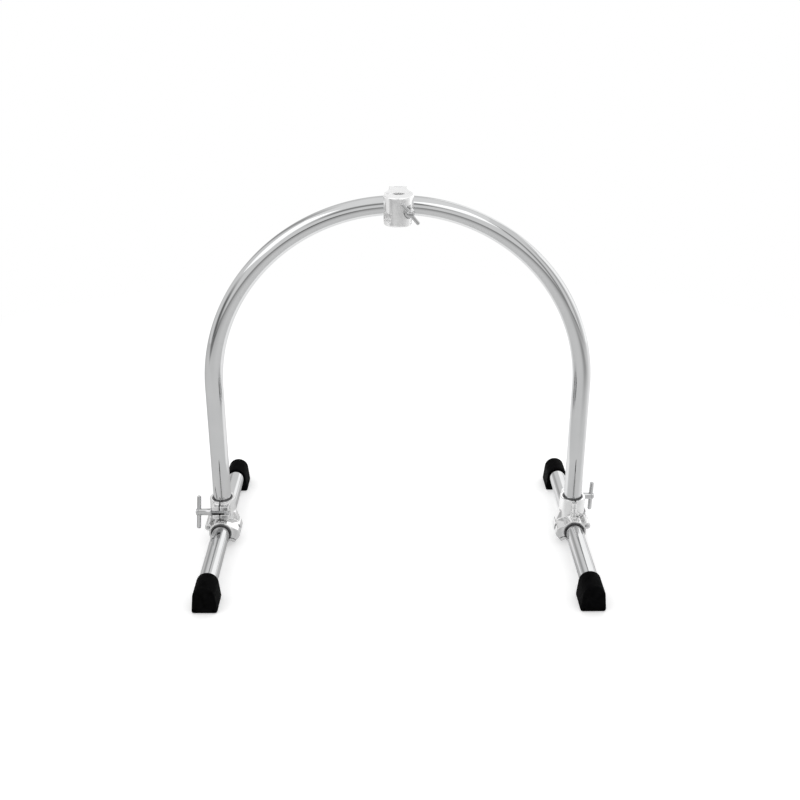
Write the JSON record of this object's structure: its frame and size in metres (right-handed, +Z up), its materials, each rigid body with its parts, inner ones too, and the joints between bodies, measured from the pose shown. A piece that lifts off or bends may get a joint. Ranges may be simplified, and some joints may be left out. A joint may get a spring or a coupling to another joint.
{
  "type": "drum docking frame",
  "caption": "Chromed tube arch that stands over a bass drum on two sliding legs, with a clamp on its crown for a post that carries other drums.",
  "frame": {"origin": "on the floor, in the middle of the four rubber feet", "axes": "+X to the right as seen from the front (the audience side), +Y towards the drummer, +Z up"},
  "size_m": [0.8794, 0.563, 0.778],
  "materials": {
    "chrome": "polished",
    "steel": "satin",
    "rubber": "matte",
    "nylon": "satin"
  },
  "bodies": {
    "arch": {"arch_tube": "chrome"},
    "left_upright_liner": {"left_upright_bush": "nylon"},
    "left_clamp": {"left_clamp_body": "chrome", "left_upright_hinge_pin": "steel", "left_bolt_pivot_pin": "steel", "left_sleeve_hinge_pin": "steel", "left_key_nut": "steel"},
    "left_collar_jaw": {"left_upright_jaw": "chrome"},
    "left_eye_bolt": {"left_swing_bolt": "steel"},
    "left_t_washer": {"left_t_nut_washer": "steel"},
    "left_t_handle": {"left_t_nut": "chrome", "left_t_bar": "chrome"},
    "left_leg_liner": {"left_leg_bush": "nylon"},
    "left_leg": {"left_leg_tube": "chrome", "left_front_foot": "rubber", "left_rear_foot": "rubber"},
    "left_lower_jaw": {"left_sleeve_jaw": "chrome"},
    "left_screw_washer": {"left_key_washer": "steel"},
    "left_screw": {"left_key_bolt": "steel"},
    "right_upright_liner": {"right_upright_bush": "nylon"},
    "right_clamp": {"right_clamp_body": "chrome", "right_upright_hinge_pin": "steel", "right_bolt_pivot_pin": "steel", "right_sleeve_hinge_pin": "steel", "right_key_nut": "steel"},
    "right_collar_jaw": {"right_upright_jaw": "chrome"},
    "right_eye_bolt": {"right_swing_bolt": "steel"},
    "right_t_washer": {"right_t_nut_washer": "steel"},
    "right_t_handle": {"right_t_nut": "chrome", "right_t_bar": "chrome"},
    "right_leg_liner": {"right_leg_bush": "nylon"},
    "right_leg": {"right_leg_tube": "chrome", "right_front_foot": "rubber", "right_rear_foot": "rubber"},
    "right_lower_jaw": {"right_sleeve_jaw": "chrome"},
    "right_screw_washer": {"right_key_washer": "steel"},
    "right_screw": {"right_key_bolt": "steel"},
    "crown_liner": {"arch_bush": "nylon"},
    "crown_clamp": {"crown_clamp_body": "chrome", "arch_jaw_hinge_pin": "steel", "post_jaw_hinge_pin": "steel", "post_bolt_pivot_pin": "steel", "arch_key_nut": "steel"},
    "rear_jaw": {"arch_jaw": "chrome"},
    "front_jaw": {"post_jaw": "chrome"},
    "post_eye_bolt": {"post_swing_bolt": "steel"},
    "post_t_washer": {"post_t_nut_washer": "steel"},
    "post_t_handle": {"post_t_nut": "chrome", "post_t_bar": "chrome"},
    "arch_screw_washer": {"arch_key_washer": "steel"},
    "arch_screw": {"arch_key_bolt": "steel"}
  },
  "joints": [
    {"name": "left_upright_slide", "type": "slide", "parent": "arch", "child": "left_upright_liner", "axis": [0, 0, 1], "range_m": [-0.015, 0]},
    {"name": "left_clamp_swivel", "type": "hinge", "parent": "left_upright_liner", "child": "left_clamp", "pos_m": [-0.385, 0.018, 0.07865], "axis": [0, 0, 1], "continuous": true},
    {"name": "left_jaw_hinge", "type": "hinge", "parent": "left_clamp", "child": "left_collar_jaw", "pos_m": [-0.385, 0.0495, 0.07865], "axis": [0, 0, -1], "range_deg": [0, 2.96]},
    {"name": "left_bolt_pivot", "type": "hinge", "parent": "left_clamp", "child": "left_eye_bolt", "pos_m": [-0.3735, -0.015, 0.07865], "axis": [0, 0, 1], "range_deg": [0, 38]},
    {"name": "left_washer_slide", "type": "slide", "parent": "left_eye_bolt", "child": "left_t_washer", "axis": [-1, 0, 0], "range_m": [0, 0.00375]},
    {"name": "left_t_nut_turn", "type": "hinge", "parent": "left_t_washer", "child": "left_t_handle", "pos_m": [-0.4052, -0.015, 0.07865], "axis": [-1, 0, 0], "range_deg": [0, 1080.01]},
    {"name": "left_leg_roll", "type": "hinge", "parent": "left_clamp", "child": "left_leg_liner", "pos_m": [-0.385, 0.018, 0.0354], "axis": [0, 1, 0], "continuous": true},
    {"name": "left_leg_slide", "type": "slide", "parent": "left_leg_liner", "child": "left_leg", "axis": [0, 1, 0], "range_m": [-0.16, 0.14]},
    {"name": "left_sleeve_hinge", "type": "hinge", "parent": "left_clamp", "child": "left_lower_jaw", "pos_m": [-0.41098, 0.018, 0.0504], "axis": [0, 1, 0], "range_deg": [0, 1.67]},
    {"name": "left_key_washer_slide", "type": "slide", "parent": "left_clamp", "child": "left_screw_washer", "axis": [-0.5, 0, -0.866], "range_m": [0, 0.002]},
    {"name": "left_key_bolt_turn", "type": "hinge", "parent": "left_screw_washer", "child": "left_screw", "pos_m": [-0.36135, -0.01, 0.01136], "axis": [-0.5, 0, -0.866], "range_deg": [0, 720.01]},
    {"name": "right_upright_slide", "type": "slide", "parent": "arch", "child": "right_upright_liner", "axis": [0, 0, 1], "range_m": [-0.015, 0]},
    {"name": "right_clamp_swivel", "type": "hinge", "parent": "right_upright_liner", "child": "right_clamp", "pos_m": [0.385, 0.018, 0.07865], "axis": [0, 0, 1], "continuous": true},
    {"name": "right_jaw_hinge", "type": "hinge", "parent": "right_clamp", "child": "right_collar_jaw", "pos_m": [0.385, -0.0135, 0.07865], "axis": [0, 0, -1], "range_deg": [0, 2.96]},
    {"name": "right_bolt_pivot", "type": "hinge", "parent": "right_clamp", "child": "right_eye_bolt", "pos_m": [0.3735, 0.051, 0.07865], "axis": [0, 0, 1], "range_deg": [0, 38]},
    {"name": "right_washer_slide", "type": "slide", "parent": "right_eye_bolt", "child": "right_t_washer", "axis": [1, 0, 0], "range_m": [0, 0.00375]},
    {"name": "right_t_nut_turn", "type": "hinge", "parent": "right_t_washer", "child": "right_t_handle", "pos_m": [0.4052, 0.051, 0.07865], "axis": [1, 0, 0], "range_deg": [0, 1080.01]},
    {"name": "right_leg_roll", "type": "hinge", "parent": "right_clamp", "child": "right_leg_liner", "pos_m": [0.385, 0.018, 0.0354], "axis": [0, 1, 0], "continuous": true},
    {"name": "right_leg_slide", "type": "slide", "parent": "right_leg_liner", "child": "right_leg", "axis": [0, 1, 0], "range_m": [-0.16, 0.14]},
    {"name": "right_sleeve_hinge", "type": "hinge", "parent": "right_clamp", "child": "right_lower_jaw", "pos_m": [0.41098, 0.018, 0.0504], "axis": [0, -1, 0], "range_deg": [0, 1.67]},
    {"name": "right_key_washer_slide", "type": "slide", "parent": "right_clamp", "child": "right_screw_washer", "axis": [0.5, 0, -0.866], "range_m": [0, 0.002]},
    {"name": "right_key_bolt_turn", "type": "hinge", "parent": "right_screw_washer", "child": "right_screw", "pos_m": [0.36135, -0.01, 0.01136], "axis": [0.5, 0, -0.866], "range_deg": [0, 720.01]},
    {"name": "crown_slide", "type": "hinge", "parent": "arch", "child": "crown_liner", "pos_m": [0, 0.018, 0.3604], "axis": [0, 1, 0], "range_deg": [-80, 80]},
    {"name": "crown_tilt", "type": "hinge", "parent": "crown_liner", "child": "crown_clamp", "pos_m": [0, 0.018, 0.7454], "axis": [1, 0, 0], "continuous": true},
    {"name": "arch_jaw_hinge", "type": "hinge", "parent": "crown_clamp", "child": "rear_jaw", "pos_m": [0, 0.037, 0.7709], "axis": [1, 0, 0], "range_deg": [0, 1.8]},
    {"name": "post_jaw_hinge", "type": "hinge", "parent": "crown_clamp", "child": "front_jaw", "pos_m": [-0.0215, -0.026, 0.7495], "axis": [0, 0, -1], "range_deg": [0, 4.67]},
    {"name": "post_bolt_pivot", "type": "hinge", "parent": "crown_clamp", "child": "post_eye_bolt", "pos_m": [0.0215, -0.0195, 0.7495], "axis": [0, 0, 1], "range_deg": [0, 75]},
    {"name": "post_washer_slide", "type": "slide", "parent": "post_eye_bolt", "child": "post_t_washer", "axis": [0, -1, 0], "range_m": [0, 0.00375]},
    {"name": "post_t_nut_turn", "type": "hinge", "parent": "post_t_washer", "child": "post_t_handle", "pos_m": [0.0215, -0.0555, 0.7495], "axis": [0, -1, 0], "range_deg": [0, 1080.01]},
    {"name": "arch_key_washer_slide", "type": "slide", "parent": "crown_clamp", "child": "arch_screw_washer", "axis": [0, 1, 0], "range_m": [0, 0.002]},
    {"name": "arch_key_bolt_turn", "type": "hinge", "parent": "arch_screw_washer", "child": "arch_screw", "pos_m": [0, 0.031, 0.7139], "axis": [0, 1, 0], "range_deg": [0, 720.01]}
  ],
  "couplings": [
    {"joint": "left_t_nut_turn", "follows": "left_washer_slide", "rad_per_m": 5026.5},
    {"joint": "left_jaw_hinge", "follows": "left_washer_slide", "rad_per_m": 13.793},
    {"joint": "left_key_bolt_turn", "follows": "left_key_washer_slide", "rad_per_m": 6283.2},
    {"joint": "left_sleeve_hinge", "follows": "left_key_washer_slide", "rad_per_m": 14.599},
    {"joint": "right_t_nut_turn", "follows": "right_washer_slide", "rad_per_m": 5026.5},
    {"joint": "right_jaw_hinge", "follows": "right_washer_slide", "rad_per_m": 13.793},
    {"joint": "right_key_bolt_turn", "follows": "right_key_washer_slide", "rad_per_m": 6283.2},
    {"joint": "right_sleeve_hinge", "follows": "right_key_washer_slide", "rad_per_m": 14.599},
    {"joint": "post_t_nut_turn", "follows": "post_washer_slide", "rad_per_m": 5026.5},
    {"joint": "post_jaw_hinge", "follows": "post_washer_slide", "rad_per_m": 21.739},
    {"joint": "arch_key_bolt_turn", "follows": "arch_key_washer_slide", "rad_per_m": 6283.2},
    {"joint": "arch_jaw_hinge", "follows": "arch_key_washer_slide", "rad_per_m": 15.748}
  ]
}
